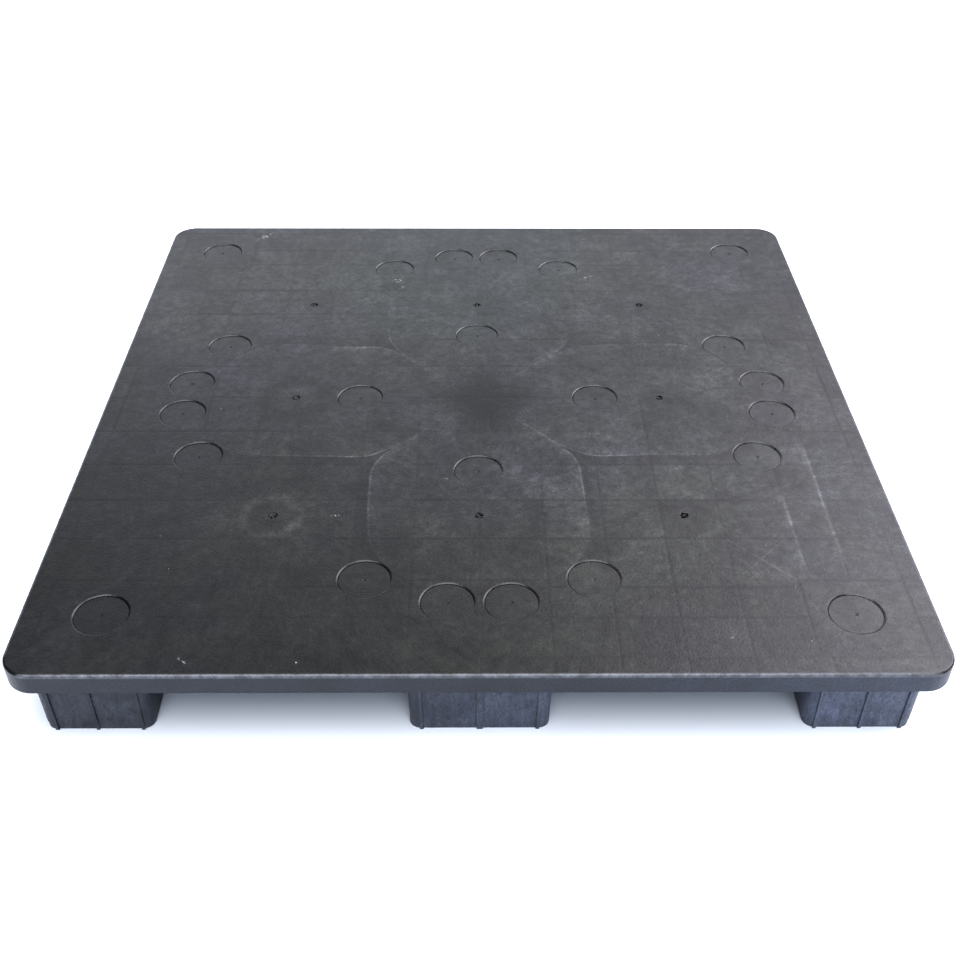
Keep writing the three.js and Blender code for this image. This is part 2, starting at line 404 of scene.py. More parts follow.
def window_rectangles(kind):
    face = kind["halves"][0]
    half = HOOK_WIDTH / 2 + CLEARANCE
    boxes = []
    for y in both_signs([HOOK_OFFSET]):
        boxes.append((face - COLLAR_WALL, y - half, face, y + half))
        boxes.append((-face, y - half, -face + COLLAR_WALL, y + half))
    return boxes


def deck_underside():
    """The skirt, ribs, collars and the plate's lower face, as corners and faces."""
    rim = TOP - EDGE_ROUND
    levels = [
        SKIRT_BOTTOM,
        SKIRT_BOTTOM + EDGE_BREAK,
        RIB_BOTTOM,
        HOOK_LEDGE - CLEARANCE,
        HOOK_TOP + CLEARANCE,
        PLATE_BOTTOM,
        rim,
    ]
    bottom, _, rib, window_low, window_high, plate, top = range(len(levels))
    inner = HALF - SKIRT_WALL
    radii = [CORNER_RADIUS] * 4
    inner_radii = [CORNER_RADIUS - SKIRT_WALL] * 4
    outline = rounded_rectangle(HALF, HALF, radii, DECK_CORNER_STEPS)
    loops = [outline, rounded_rectangle(inner, inner, inner_radii, DECK_CORNER_STEPS)]
    lines = both_signs([0] + RIB_LINES)
    reach = inner + SKIRT_WALL / 2
    for line in lines:
        loops.append(rectangle(-reach, line - RIB_WALL / 2, reach, line + RIB_WALL / 2))
        loops.append(rectangle(line - RIB_WALL / 2, -reach, line + RIB_WALL / 2, reach))
    for _, kind, turns in FEET:
        for inset in (0, COLLAR_WALL):
            loops.append(turned(foot_outline(kind, inset), kind["place"], turns))
        for box in window_rectangles(kind):
            loops.append(turned(rectangle(*box), kind["place"], turns))
    points, triangles, origins = triangulate(loops)

    def spans_at(x, y):
        if not inside_rounded(x, y, HALF, HALF, radii):
            return []
        if not inside_rounded(x, y, inner, inner, inner_radii):
            return [(bottom, top)]
        for _, kind, turns in FEET:
            foot_x, foot_y = to_foot(x, y, kind, turns)
            if inside_foot(foot_x, foot_y, kind, COLLAR_WALL):
                return [(plate, top)]
            if inside_foot(foot_x, foot_y, kind, -SLIVER):
                if in_any(foot_x, foot_y, window_rectangles(kind)):
                    return [(bottom, window_low), (window_high, top)]
                return [(bottom, top)]
        near_rib = any(min(abs(x - line), abs(y - line)) < RIB_WALL / 2 for line in lines)
        return [(rib, top)] if near_rib else [(plate, top)]

    def broken_edge(number):
        """A coordinate of the outline's lower edge, drawn in by the edge's break."""
        share = min(1, max(0, (abs(number) - HALF) / CORNER_RADIUS + 1))
        return number - math.copysign(EDGE_BREAK, number) * share

    def place(point, level):
        x, y = points[point]
        if level == bottom and on_outline[point]:
            x, y = broken_edge(x), broken_edge(y)
        return x, y, levels[level]

    faces = layered_faces(points, triangles, levels, spans_at, open_top=True)
    on_outline = [any(number < len(outline) for number in origin) for origin in origins]
    return placed(faces, place)


def make_deck(material):
    top_corners, top_faces = deck_top()
    low_corners, low_faces = deck_underside()
    shift = len(top_corners)
    corners = top_corners + low_corners
    faces = [list(face) for face in top_faces] + [[i + shift for i in face] for face in low_faces]
    deck = mesh_from("deck_moulding", corners, faces)
    finish_piece(deck, material, "deck")


# ---------------------------------------------------------------- feet

FOOT_EDGE = [(0, 1.1 * MM), (0.35 * MM, 0.45 * MM), (1.2 * MM, 0)]  # height and inset at the floor


def fin_rectangles(kind):
    half_x, half_y = kind["halves"]
    boxes = [
        (at - wall / 2, -half_y - FIN_REACH, at + wall / 2, -half_y + FOOT_WALL)
        for at, wall in kind["front"]
    ]
    boxes += [
        (-half_x - FIN_REACH, at - wall / 2, -half_x + FOOT_WALL, at + wall / 2)
        for at, wall in kind["left"]
    ]
    return boxes


def hook_rectangles(kind):
    face = kind["halves"][0] - COLLAR_WALL - CLEARANCE
    boxes = []
    for y in both_signs([HOOK_OFFSET]):
        boxes.append((face, y - HOOK_WIDTH / 2, face + HOOK_REACH, y + HOOK_WIDTH / 2))
        boxes.append((-face - HOOK_REACH, y - HOOK_WIDTH / 2, -face, y + HOOK_WIDTH / 2))
    return boxes


def cell_walls(kind):
    """The inside walls that divide a foot into cells."""
    inset = COLLAR_WALL + CLEARANCE + FOOT_WALL
    walls = []
    for axis in (0, 1):
        span = kind["halves"][axis] - inset
        count = kind["cells"][axis]
        cell = (2 * span - (count - 1) * FOOT_WALL) / count
        across = kind["halves"][1 - axis] - inset + FOOT_WALL / 2
        for wall in range(1, count):
            low = -span + wall * cell + (wall - 1) * FOOT_WALL
            box = (low, -across, low + FOOT_WALL, across)
            walls.append(box if axis == 0 else (box[1], box[0], box[3], box[2]))
    return walls


def foot_faces(kind):
    """One foot about its own centre line: hollow from above, with fins, spigot and hooks."""
    spigot = COLLAR_WALL + CLEARANCE
    cells = spigot + FOOT_WALL
    levels = [height for height, _ in FOOT_EDGE]
    levels += [FOOT_BASE, FOOT_TOP, HOOK_LEDGE, HOOK_TOP, SPIGOT_TOP]
    ground, _, _, base, shoulder, ledge, hook_top, top = range(len(levels))
    fins, hooks, walls = fin_rectangles(kind), hook_rectangles(kind), cell_walls(kind)
    loops = [foot_outline(kind, inset) for inset in (0, spigot, cells)]
    loops += [rectangle(*box) for box in fins + hooks + walls]
    points, triangles, _ = triangulate(loops)

    def spans_at(x, y):
        if inside_foot(x, y, kind, cells):
            return [(ground, top)] if in_any(x, y, walls) else [(ground, base)]
        if inside_foot(x, y, kind, spigot):
            return [(ground, top)]
        if inside_foot(x, y, kind, 0):
            hooked = in_any(x, y, hooks)
            return [(ground, shoulder), (ledge, hook_top)] if hooked else [(ground, shoulder)]
        return [(ground, shoulder)] if in_any(x, y, fins) else []

    half_x, half_y = kind["halves"]

    def leaned(x, y, z, level):
        """The draft of the outer faces, and the rounded edge at the floor."""
        if inside_foot(x, y, kind, spigot - 0.01 * MM):
            return x, y
        lean = FOOT_DRAFT * (1 - z / FOOT_TOP)
        lean += FOOT_EDGE[level][1] if level < len(FOOT_EDGE) else 0
        return x * (1 - lean / half_x), y * (1 - lean / half_y)

    def place(point, level):
        x, y = points[point]
        z = levels[level]
        if level <= shoulder:
            x, y = leaned(x, y, z, level)
        elif level == hook_top and abs(x) > half_x - spigot + HOOK_REACH / 2:
            z = HOOK_LEDGE + (HOOK_TOP - HOOK_LEDGE) / 4  # a hook slopes down to its thin tip
        return x, y, z

    return placed(layered_faces(points, triangles, levels, spans_at), place)


def make_feet(material):
    for name, kind, turns in FEET:
        corners, faces = foot_faces(kind)
        foot = mesh_from(name + "_moulding", corners, faces)
        turn = Matrix.Rotation(turns * math.pi / 2, 4, "Z")
        foot.data.transform(turn @ Matrix.Translation((*kind["place"], 0)))
        finish_piece(foot, material, name)


# ---------------------------------------------------------------- discs


def make_disc(name, centre, material, rng):
    """A thin round disc with a rounded rim and a small dimple and nub where it was gated."""
    low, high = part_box(name)
    radius = high.x - centre.x
    face = high.z
    shift = Vector((rng.uniform(-0.4, 0.4), rng.uniform(-0.4, 0.4))) * MM
    # Radius, height and whether the ring is off centre with the gate's dimple.
    profile = [
        (0, low.z, 0),
        (radius - 0.2 * MM, low.z, 0),
        (radius, low.z + 0.2 * MM, 0),
        (radius, face - 0.3 * MM, 0),
        (radius - 0.09 * MM, face - 0.09 * MM, 0),
        (radius - 0.3 * MM, face, 0),
        (3.0 * MM, face, 1),
        (2.6 * MM, face - 0.10 * MM, 1),
        (2.3 * MM, face - 0.75 * MM, 1),
        (1.7 * MM, face - 1.05 * MM, 1),
        (1.1 * MM, face - 1.0 * MM, 1),
        (0.8 * MM, face - 0.25 * MM, 1),
        (0, face - 0.15 * MM, 1),
    ]
    corners, rings, faces = [], [], []
    for ring_radius, z, shifted in profile:
        offset = centre.xy + shift * shifted
        if ring_radius == 0:
            rings.append([len(corners)] * DISC_STEPS)
            corners.append((offset.x, offset.y, z))
            continue
        rings.append(list(range(len(corners), len(corners) + DISC_STEPS)))
        corners += [(x, y, z) for x, y in circle(offset, ring_radius, DISC_STEPS)]
    for inner, outer in zip(rings, rings[1:]):
        for i in range(DISC_STEPS):
            j = (i + 1) % DISC_STEPS
            face_corners = [inner[i], inner[j], outer[j], outer[i]]
            faces.append(list(dict.fromkeys(face_corners)))
    disc = mesh_from(name + "_insert", corners, faces)
    finish_piece(disc, material, name)


def make_discs(material):
    rng = random.Random(SEED + 1)
    for name in DISC_NODES:
        make_disc(name, DISC_CENTRES[name], material, rng)


def finish_piece(piece, material, node):
    """Shading, material and the frame's calls for one piece."""
    soften(piece)
    piece.data.materials.clear()
    piece.data.materials.append(material)
    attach(piece, "root")
    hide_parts(node)


# ---------------------------------------------------------------- materials


SPECULAR = 0.36
SINK_WIDTH = 4.5 * MM

NEUTRAL = (0.0166, 0.0169, 0.0152, 1)
VIOLET = (0.0161, 0.0158, 0.0190, 1)
OLIVE = (0.0158, 0.0165, 0.0085, 1)
TEAL = (0.0128, 0.0148, 0.0144, 1)
# Painted reflection: the bluer copy of the plastic for the deck's sides.
SIDE_PAINTED_REFLECTION_BLUE = (0.0095, 0.0125, 0.0200)
# Pale of the worn top edge, also used as a painted highlight along it.
EDGE_WEAR_AND_HIGHLIGHT_PALE = (0.20, 0.21, 0.24, 1)
SCUFF_PALE = (0.45, 0.45, 0.46, 1)
SPECK_PALE = (0.4, 0.4, 0.4, 1)
FOOT_BLUE = (0.0235, 0.0290, 0.0435, 1)
FOOT_LIGHT_BLUE = (0.0295, 0.0335, 0.0480, 1)
HAZE_PALE = (0.22, 0.23, 0.26, 1)
FLOOR_DUST = (0.20, 0.20, 0.19, 1)
PAPER = (0.72, 0.745, 0.78, 1)

# Blush round some gates: the gate's place in pitches, radius, width and strength of each ring.
GATE_RINGS = [
    ((-1, -1), 0.041, 0.014, 1.10),
    ((-1, -1), 0.018, 0.018, -0.30),
    ((-1, 0), 0.050, 0.026, -0.36),
    ((-1, 0), 0.020, 0.014, 0.25),
    ((1, 0), 0.018, 0.036, -0.34),
    ((1, -1), 0.024, 0.034, -0.38),
    ((1, -1), 0.052, 0.008, 0.28),
    ((0, -1), 0.026, 0.036, -0.34),
    ((0, -1), 0.050, 0.008, 0.22),
    ((0, 1), 0.024, 0.034, -0.20),
    ((-1, 1), 0.010, 0.022, -0.22),
    ((1, 1), 0.010, 0.022, -0.22),
]
# Rubbed spots on the deck: centre, half sizes and turn.
RUBBED_SPOTS = [
    ((0.208, 0.398), (0.022, 0.008), 0.5),
    ((0.213, 0.549), (0.007, 0.004), 0.1),
    ((-0.148, 0.385), (0.018, 0.024), 1.2),
    ((-0.137, 0.360), (0.010, 0.010), 0.2),
    ((-0.420, 0.560), (0.038, 0.014), 0.9),
    ((0.325, -0.536), (0.012, 0.003), 0.4),
    ((-0.205, -0.295), (0.022, 0.004), 0.0),
    ((-0.050, -0.210), (0.018, 0.003), 0.0),
    ((0.540, 0.556), (0.012, 0.008), 0.5),
    ((-0.372, -0.575), (0.016, 0.005), -0.5),
]
CROSS_CENTRE = 0.388  # where the crossed lines inside each corner meet, in x and y
CROSS_REACH = 0.085
# Two upright lines at the front right that are painted as highlights, each with a painted sheen
# beside it.
UPRIGHT_HIGHLIGHT_LINES = [(0.4445, -0.434, -0.226), (0.501, -0.411, -0.103)]  # x, lowest y, highest y


class Graph:
    """A node tree with short calls for the nodes used here."""

    def __init__(self, tree):
        self.tree = tree

    def node(self, kind, inputs=(), **settings):
        made = self.tree.nodes.new(kind)
        for setting, value in settings.items():
            setattr(made, setting, value)
        for socket, value in dict(inputs).items():
            self.put(made.inputs[socket], value)
        return made

    def put(self, socket, value):
        if isinstance(value, bpy.types.NodeSocket):
            self.tree.links.new(value, socket)
        elif value is not None:
            socket.default_value = value

    def math(self, operation, *values, clamp=False):
        made = self.tree.nodes.new("ShaderNodeMath")
        made.operation = operation
        made.use_clamp = clamp
        for socket, value in zip(made.inputs, values):
            self.put(socket, value)
        return made.outputs[0]

    def total(self, *values):
        result = values[0]
        for value in values[1:]:
            result = self.math("ADD", result, value)
        return result

    def product(self, *values):
        result = values[0]
        for value in values[1:]:
            result = self.math("MULTIPLY", result, value)
        return result

    def less(self, a, b):
        return self.math("SUBTRACT", a, b)

    def size(self, value):
        return self.math("ABSOLUTE", value)

    def least(self, *values):
        result = values[0]
        for value in values[1:]:
            result = self.math("MINIMUM", result, value)
        return result

    def most(self, *values):
        result = values[0]
        for value in values[1:]:
            result = self.math("MAXIMUM", result, value)
        return result

    def both(self, *masks):
        return self.product(*masks)

    def inverse(self, mask):
        return self.less(1.0, mask)

    def above(self, value, limit):
        return self.math("GREATER_THAN", value, limit)

    def ramp(self, value, low, high, out_low=0.0, out_high=1.0):
        """A smooth step from low to high."""
        made = self.node(
            "ShaderNodeMapRange",
            {"Value": value, "From Min": low, "From Max": high,
             "To Min": out_low, "To Max": out_high},
            interpolation_type="SMOOTHSTEP",
        )
        return made.outputs["Result"]

    def line(self, distance, width):
        """1 on a line and 0 from width away."""
        return self.ramp(distance, 0.0, width, 1.0, 0.0)

    def noise(self, vector, scale, detail=3.0, roughness=0.55, distortion=0.0):
        made = self.node(
            "ShaderNodeTexNoise",
            {"Vector": vector, "Scale": scale, "Detail": detail, "Roughness": roughness,
             "Distortion": distortion},
        )
        return made.outputs[0]

    def swing(self, value, amount):
        """Noise about 0.5 as a factor about 1."""
        return self.math("MULTIPLY_ADD", self.less(value, 0.5), amount, 1.0)

    def tint(self, mask, amount):
        """A mask as a factor that is 1 where the mask is 0."""
        return self.math("MULTIPLY_ADD", mask, amount, 1.0)

    def combine(self, x, y, z=0.0):
        return self.node("ShaderNodeCombineXYZ", {"X": x, "Y": y, "Z": z}).outputs[0]

    def split(self, vector):
        made = self.node("ShaderNodeSeparateXYZ", {"Vector": vector})
        return made.outputs[0], made.outputs[1], made.outputs[2]

    def vector(self, operation, a, b):
        made = self.node("ShaderNodeVectorMath", {0: a, 1: b}, operation=operation)
        return made.outputs["Value"] if operation == "DOT_PRODUCT" else made.outputs[0]

    def moved(self, vector, x, y, z=0.0):
        return self.vector("ADD", vector, (x, y, z))

    def stretched(self, vector, x, y, z):
        return self.vector("MULTIPLY", vector, (x, y, z))

    def mix_colour(self, factor, a, b):
        made = self.node("ShaderNodeMix", {0: factor, 6: a, 7: b}, data_type="RGBA")
        return made.outputs[2]

    def scale_colour(self, colour, factor):
        made = self.node("ShaderNodeVectorMath", {0: colour, "Scale": factor}, operation="SCALE")
        return made.outputs[0]

    def bump(self, height, distance, strength=1.0, normal=None):
        made = self.node(
            "ShaderNodeBump",
            {"Strength": strength, "Distance": distance, "Height": height, "Normal": normal},
        )
        return made.outputs["Normal"]


def plastic(name):
    """A new matt plastic material: its graph, its object coordinates and its shader."""
    material = bpy.data.materials.new(name)
    material.use_nodes = True
    graph = Graph(material.node_tree)
    shader = graph.tree.nodes["Principled BSDF"]
    shader.inputs["Specular IOR Level"].default_value = SPECULAR
    point = graph.node("ShaderNodeTexCoord").outputs["Object"]
    return material, graph, point, shader


def dress(graph, shader, colour, roughness, normal):
    graph.put(shader.inputs["Base Color"], colour)
    graph.put(shader.inputs["Roughness"], roughness)
    graph.put(shader.inputs["Normal"], normal)


def speckle(graph, point, scale, share, radius):
    """Sparse round specks: cells of a Voronoi pattern, of which only a share hold a speck."""
    cells = graph.node("ShaderNodeTexVoronoi", {"Vector": point, "Scale": scale})
    pick, grade, _ = graph.split(cells.outputs["Color"])
    chosen = graph.math("LESS_THAN", pick, share)
    size = graph.product(graph.total(grade, 0.35), radius * scale)
    return graph.both(chosen, graph.math("LESS_THAN", cells.outputs["Distance"], size))


def patch(graph, x, y, centre, size, turn=0.0):
    """Distance from a place on the deck in units of an ellipse's half sizes."""
    cos, sin = math.cos(turn), math.sin(turn)
    dx, dy = graph.less(x, centre[0]), graph.less(y, centre[1])
    along = graph.total(graph.product(dx, cos / size[0]), graph.product(dy, sin / size[0]))
    across = graph.total(graph.product(dx, -sin / size[1]), graph.product(dy, cos / size[1]))
    square = graph.total(graph.product(along, along), graph.product(across, across))
    return graph.math("SQRT", square)


PETAL = 158 * MM  # half the width of the four flow petals between the melt fronts
PETAL_BEND = 60 * MM
PETAL_END = 330 * MM  # where a petal starts to round off
PETAL_CLOSE = 120 * MM


def petal_edge(graph, along):
    """Half the width of a petal at a distance from the middle of the deck."""
    width = graph.math("SMOOTH_MIN", along, PETAL, PETAL_BEND)
    past = graph.math("DIVIDE", graph.less(along, PETAL_END), PETAL_CLOSE)
    past = graph.least(graph.most(past, 0.0), 1.0)
    closing = graph.math("SQRT", graph.inverse(graph.product(past, past)))
    return graph.product(width, closing)


def melt_fronts(graph, point, x, y):
    """Where the flows from the eight gates met, as signed gaps outside the four petals."""
    bend = graph.less(graph.noise(point, 5.0, 2.0), 0.5)
    bend_too = graph.less(graph.noise(graph.moved(point, 7.3, 1.9), 5.0, 2.0), 0.5)
    fold_x = graph.size(graph.math("MULTIPLY_ADD", bend, 0.03, x))
    fold_y = graph.size(graph.math("MULTIPLY_ADD", bend_too, 0.03, y))
    gap_x = graph.less(fold_y, petal_edge(graph, fold_x))
    gap_y = graph.less(fold_x, petal_edge(graph, fold_y))
    return fold_x, fold_y, gap_x, gap_y


def flow_streaks(graph, x, y, fold_x, fold_y, in_corner):
    """Rays that spread from the gate of each flow: broad, middling and fine."""
    across = graph.above(fold_y, fold_x)
    gate_x = graph.product(graph.most(in_corner, graph.inverse(across)), GATE_PITCH)
    gate_y = graph.product(graph.most(in_corner, across), GATE_PITCH)
    away = graph.combine(graph.less(fold_x, gate_x), graph.less(fold_y, gate_y))
    swirl = graph.node("ShaderNodeTexNoise", {"Vector": away, "Scale": 16.0, "Detail": 2.0})
    swirl = graph.vector("SUBTRACT", swirl.outputs["Color"], (0.5, 0.5, 0.5))
    away = graph.vector("ADD", away, graph.stretched(swirl, 0.05, 0.05, 0.0))
    length = graph.node("ShaderNodeVectorMath", {0: away}, operation="LENGTH").outputs["Value"]
    ray = graph.node("ShaderNodeVectorMath", {0: away}, operation="NORMALIZE").outputs[0]
    side = graph.total(
        graph.product(graph.math("SIGN", x), 3.1), graph.product(graph.math("SIGN", y), 7.7)
    )
    layers = []
    for turn_scale, length_scale in ((13.0, 14.0), (34.0, 26.0), (85.0, 60.0)):
        turned_ray = graph.stretched(ray, turn_scale, turn_scale, 0.0)
        depth = graph.math("MULTIPLY_ADD", length, length_scale, side)
        place = graph.vector("ADD", turned_ray, graph.combine(0.0, 0.0, depth))
        layers.append(graph.noise(place, 1.0, 2.0, 0.6))
    return layers


def near_line(graph, value, lines):
    return graph.least(*[graph.size(graph.less(value, line)) for line in lines])


def sink_lines(graph, fold_x, fold_y):
    """Faint lines on the top face over the ribs and collars below, which the deck darkens as
    painted shade, and the number of each bay.
    """
    lines = [0.0] + RIB_LINES
    along_x = graph.line(near_line(graph, fold_y, lines), SINK_WIDTH)
    along_y = graph.line(near_line(graph, fold_x, lines), SINK_WIDTH)
    beyonds = []
    for centre_x, centre_y, half_x, half_y in (
        (FOOT_ROW, FOOT_ROW, NARROW_HALF, NARROW_HALF),
        (0.0, FOOT_ROW, WIDE_HALF, NARROW_HALF),
        (FOOT_ROW, 0.0, NARROW_HALF, WIDE_HALF),
    ):
        beyond_x = graph.less(graph.size(graph.less(fold_x, centre_x)), half_x - COLLAR_WALL / 2)
        beyond_y = graph.less(graph.size(graph.less(fold_y, centre_y)), half_y - COLLAR_WALL / 2)
        beyonds.append(graph.most(beyond_x, beyond_y))
    collar = graph.least(*beyonds)
    open_deck = graph.above(collar, 0.0)
    collar_line = graph.line(graph.size(collar), SINK_WIDTH)
    steps_x = graph.total(*[graph.above(fold_x, line) for line in RIB_LINES])
    steps_y = graph.total(*[graph.above(fold_y, line) for line in RIB_LINES])
    return {
        "across": graph.most(graph.both(along_x, open_deck), collar_line),
        "along": graph.both(along_y, open_deck),
        "in_collar": graph.inverse(open_deck),
        "steps_x": steps_x,
        "steps_y": steps_y,
    }


def bay_tones(graph, x, y, sinks):
    """A slightly different tone for each bay between the ribs below."""
    cell_x = graph.product(graph.total(sinks["steps_x"], 1.0), graph.math("SIGN", x))
    cell_y = graph.product(graph.total(sinks["steps_y"], 1.0), graph.math("SIGN", y))
    cell = graph.combine(cell_x, cell_y, 3.0)
    return graph.node("ShaderNodeTexWhiteNoise", {"Vector": cell}).outputs["Value"]


def moulded_tone(graph, point):
    """The cloudy, woven and grainy tone that the deck and its discs share."""
    broad = graph.noise(point, 2.4, 3.0, 0.5)
    cloud = graph.noise(graph.moved(point, 3.1, 5.2), 15.0, 4.0, 0.65)
    mottle = graph.noise(graph.moved(point, 8.4, 0.6), 85.0, 3.0, 0.6)
    weave = graph.noise(point, 300.0, 3.0, 0.65)
    grain = graph.noise(point, 1100.0, 2.0, 0.6)
    value = graph.product(
        graph.swing(broad, 1.3),
        graph.swing(cloud, 2.2),
        graph.swing(mottle, 2.4),
        graph.swing(weave, 2.5),
        graph.swing(grain, 0.8),
    )
    return value, cloud, weave, grain


def charcoal(graph, point, x, y):
    """Neutral charcoal, olive in front, teal behind the middle and violet or blue in patches,
    darkened towards the front left as painted shade.
    """
    hue = graph.noise(graph.moved(point, 11.0, 2.0), 3.2, 4.0, 0.65)
    colour = graph.mix_colour(graph.ramp(hue, 0.34, 0.66), NEUTRAL, VIOLET)
    front_share = graph.both(graph.ramp(y, -0.1, -0.5), graph.line(graph.size(x), 0.5))
    colour = graph.mix_colour(graph.product(front_share, 0.55), colour, OLIVE)
    behind_share = graph.both(graph.ramp(y, 0.06, 0.26), graph.line(graph.size(x), 0.42))
    colour = graph.mix_colour(graph.product(behind_share, 0.7), colour, TEAL)
    # Painted shade: the colour is darkened towards the front left.
    left_front = graph.math("MULTIPLY_ADD", x, 0.6, y)
    return graph.scale_colour(colour, graph.ramp(left_front, -0.75, 0.10, 0.30, 1.0))


def deck_material():
    material, graph, point, shader = plastic("deck_polyethylene")
    x, y, z = graph.split(point)
    fold_x, fold_y, gap_x, gap_y = melt_fronts(graph, point, x, y)
    in_corner = graph.both(graph.above(gap_x, 0.0), graph.above(gap_y, 0.0))
    streaks = flow_streaks(graph, x, y, fold_x, fold_y, in_corner)

    value, cloud, weave, grain = moulded_tone(graph, point)
    value = graph.product(
        value,
        graph.swing(streaks[0], 1.0),
        graph.swing(streaks[1], 0.8),
        graph.swing(streaks[2], 0.5),
    )

    # The melt fronts: a thin pale line, a soft glow inside the petals and a dark side outside.
    reach = graph.most(fold_x, fold_y)
    fade = graph.product(
        graph.ramp(reach, 0.20, 0.50, 1.0, 0.2),
        graph.ramp(reach, 0.045, 0.085),
        graph.ramp(y, 0.10, 0.26, 1.0, 0.25),
    )
    broken = graph.ramp(graph.noise(point, 8.0, 2.0), 0.38, 0.6, 0.3, 1.0)
    gap = graph.least(graph.size(gap_x), graph.size(gap_y))
    front = graph.both(graph.line(gap, 3.6 * MM), fade, broken)
    glow = graph.both(graph.line(gap, 26 * MM), graph.inverse(in_corner), fade)
    shade = graph.both(graph.line(graph.least(gap_x, gap_y), 34 * MM), in_corner, fade)
    value = graph.product(
        value, graph.tint(front, 1.5), graph.tint(glow, 0.40), graph.tint(shade, -0.50)
    )
    cold = cold_middle(graph, x, y, streaks[1])
    value = graph.product(value, graph.tint(cold, -0.90))

    straight_x, straight_y = graph.size(x), graph.size(y)
    sinks = sink_lines(graph, straight_x, straight_y)
    patchy = graph.ramp(graph.noise(graph.moved(point, 1.7, 9.1), 3.6, 2.0), 0.36, 0.62, 0.15, 1.0)
    # Painted shade: the sink lines are darkened as their shallow grooves would be shaded, more
    # across than along; the deck over the collars is a little darker too.
    sunk = graph.both(sinks["across"], patchy)
    value = graph.product(
        value,
        graph.tint(sunk, -0.5),
        graph.tint(graph.both(sinks["along"], patchy), -0.28),
        graph.tint(sinks["in_collar"], -0.05),
        graph.swing(bay_tones(graph, x, y, sinks), 0.36),
    )
    value = corner_marks(graph, x, y, straight_x, straight_y, value)
    value = gate_halos(graph, x, y, value, cloud)

    colour = graph.scale_colour(charcoal(graph, point, x, y), value)
    # The deck's sides take a bluer copy of the plastic as a painted reflection, made lighter
    # towards the right as painted light.
    sides = graph.ramp(z, TOP - 4.5 * MM, TOP - 3.0 * MM, 1.0, 0.0)
    side_tone_and_painted_light = graph.product(
        graph.swing(cloud, 1.8), graph.swing(weave, 2.8), graph.ramp(x, 0.1, 0.5, 0.9, 1.9)
    )
    side_painted_colour = graph.scale_colour(SIDE_PAINTED_REFLECTION_BLUE, side_tone_and_painted_light)
    colour = graph.mix_colour(sides, colour, side_painted_colour)

    marks = scuffs(graph, point, x, y)
    # Pale edge: partly wear, partly a painted highlight along the rounded top edge.
    edge_pale_wear_and_highlight = edge_wear_and_highlight(graph, point, straight_x, straight_y, z)
    colour = graph.mix_colour(edge_pale_wear_and_highlight, colour, EDGE_WEAR_AND_HIGHLIGHT_PALE)
    colour = graph.mix_colour(marks, colour, SCUFF_PALE)

    roughness = graph.total(
        0.22,
        graph.product(cloud, 0.16),
        graph.product(streaks[1], 0.16),
        graph.product(marks, 0.3),
    )
    rounded = graph.ramp(z, TOP - 0.20 * MM, TOP - 0.06 * MM, 1.0, 0.0)
    upper = graph.ramp(z, TOP - 4.0 * MM, TOP - 3.0 * MM)
    polished = graph.both(rounded, upper)
    roughness = graph.product(roughness, graph.tint(polished, -0.4), graph.tint(cold, -0.42))
    wavy = graph.bump(graph.noise(point, 7.0, 2.0, 0.4), 1.0 * MM, 0.5)
    grooved = graph.bump(graph.most(sunk, sinks["along"]), -0.08 * MM, 1.0, wavy)
    seam = graph.bump(front, 0.05 * MM, 1.0, grooved)
    rays = graph.bump(graph.total(streaks[1], streaks[2]), 0.12 * MM, 0.8, seam)
    texture = graph.bump(graph.math("MULTIPLY_ADD", weave, 3.0, grain), 0.12 * MM, 0.8, rays)
    dress(graph, shader, colour, roughness, texture)
    return material


def cold_middle(graph, x, y, rays):
    """The dark blot with ragged arms in the middle, where four flows met."""
    wide = patch(graph, x, y, (0.006, 0.004), (0.098, 0.060))
    tall = patch(graph, x, y, (0.010, -0.010), (0.060, 0.112))
    blot = graph.math("SMOOTH_MIN", wide, tall, 0.3)
    ragged = graph.math("MULTIPLY_ADD", graph.less(rays, 0.5), 0.5, blot)
    return graph.math("POWER", graph.ramp(ragged, 0.15, 1.55, 1.0, 0.0), 1.3)


def corner_marks(graph, x, y, fold_x, fold_y, value):
    """Crossed lines inside each corner, strongest at the front right, and two upright lines there
    painted bright as highlights, each with a painted sheen beside it.
    """
    near_corner = patch(
        graph, fold_x, fold_y, (CROSS_CENTRE, CROSS_CENTRE), (CROSS_REACH, CROSS_REACH)
    )
    arm = graph.size(graph.less(fold_x, fold_y))
    cross_arm = graph.size(graph.less(graph.total(fold_x, fold_y), 2 * CROSS_CENTRE))
    on_arm = graph.line(graph.least(arm, cross_arm), 4 * MM)
    crossed = graph.both(on_arm, graph.line(near_corner, 1.0))
    front_right = graph.both(graph.above(x, 0.0), graph.inverse(graph.above(y, 0.0)))
    value = graph.product(value, graph.tint(crossed, 0.16))
    value = graph.product(value, graph.tint(graph.both(crossed, front_right), 0.8))
    # Painted highlights: each upright line is lightened, with a painted sheen on the band to its
    # left.
    for line, low, high in UPRIGHT_HIGHLIGHT_LINES:
        beside = graph.line(graph.size(graph.less(x, line)), 4 * MM)
        middle, half = (low + high) / 2, (high - low) / 2
        inside = graph.ramp(graph.size(graph.less(y, middle)), half - 0.05, half, 1.0, 0.0)
        value = graph.product(value, graph.tint(graph.both(beside, inside), 1.1))
        sheen = graph.ramp(graph.less(x, line), -0.028, 0.0, 0.0, 1.0)
        sheen = graph.both(sheen, graph.ramp(graph.less(x, line), 0.0, 0.004, 1.0, 0.0), inside)
        value = graph.product(value, graph.tint(sheen, 0.45))
    edge_band = patch(graph, x, y, (0.500, -0.582), (0.085, 0.012))
    return graph.product(value, graph.tint(graph.line(edge_band, 1.0), 0.6))


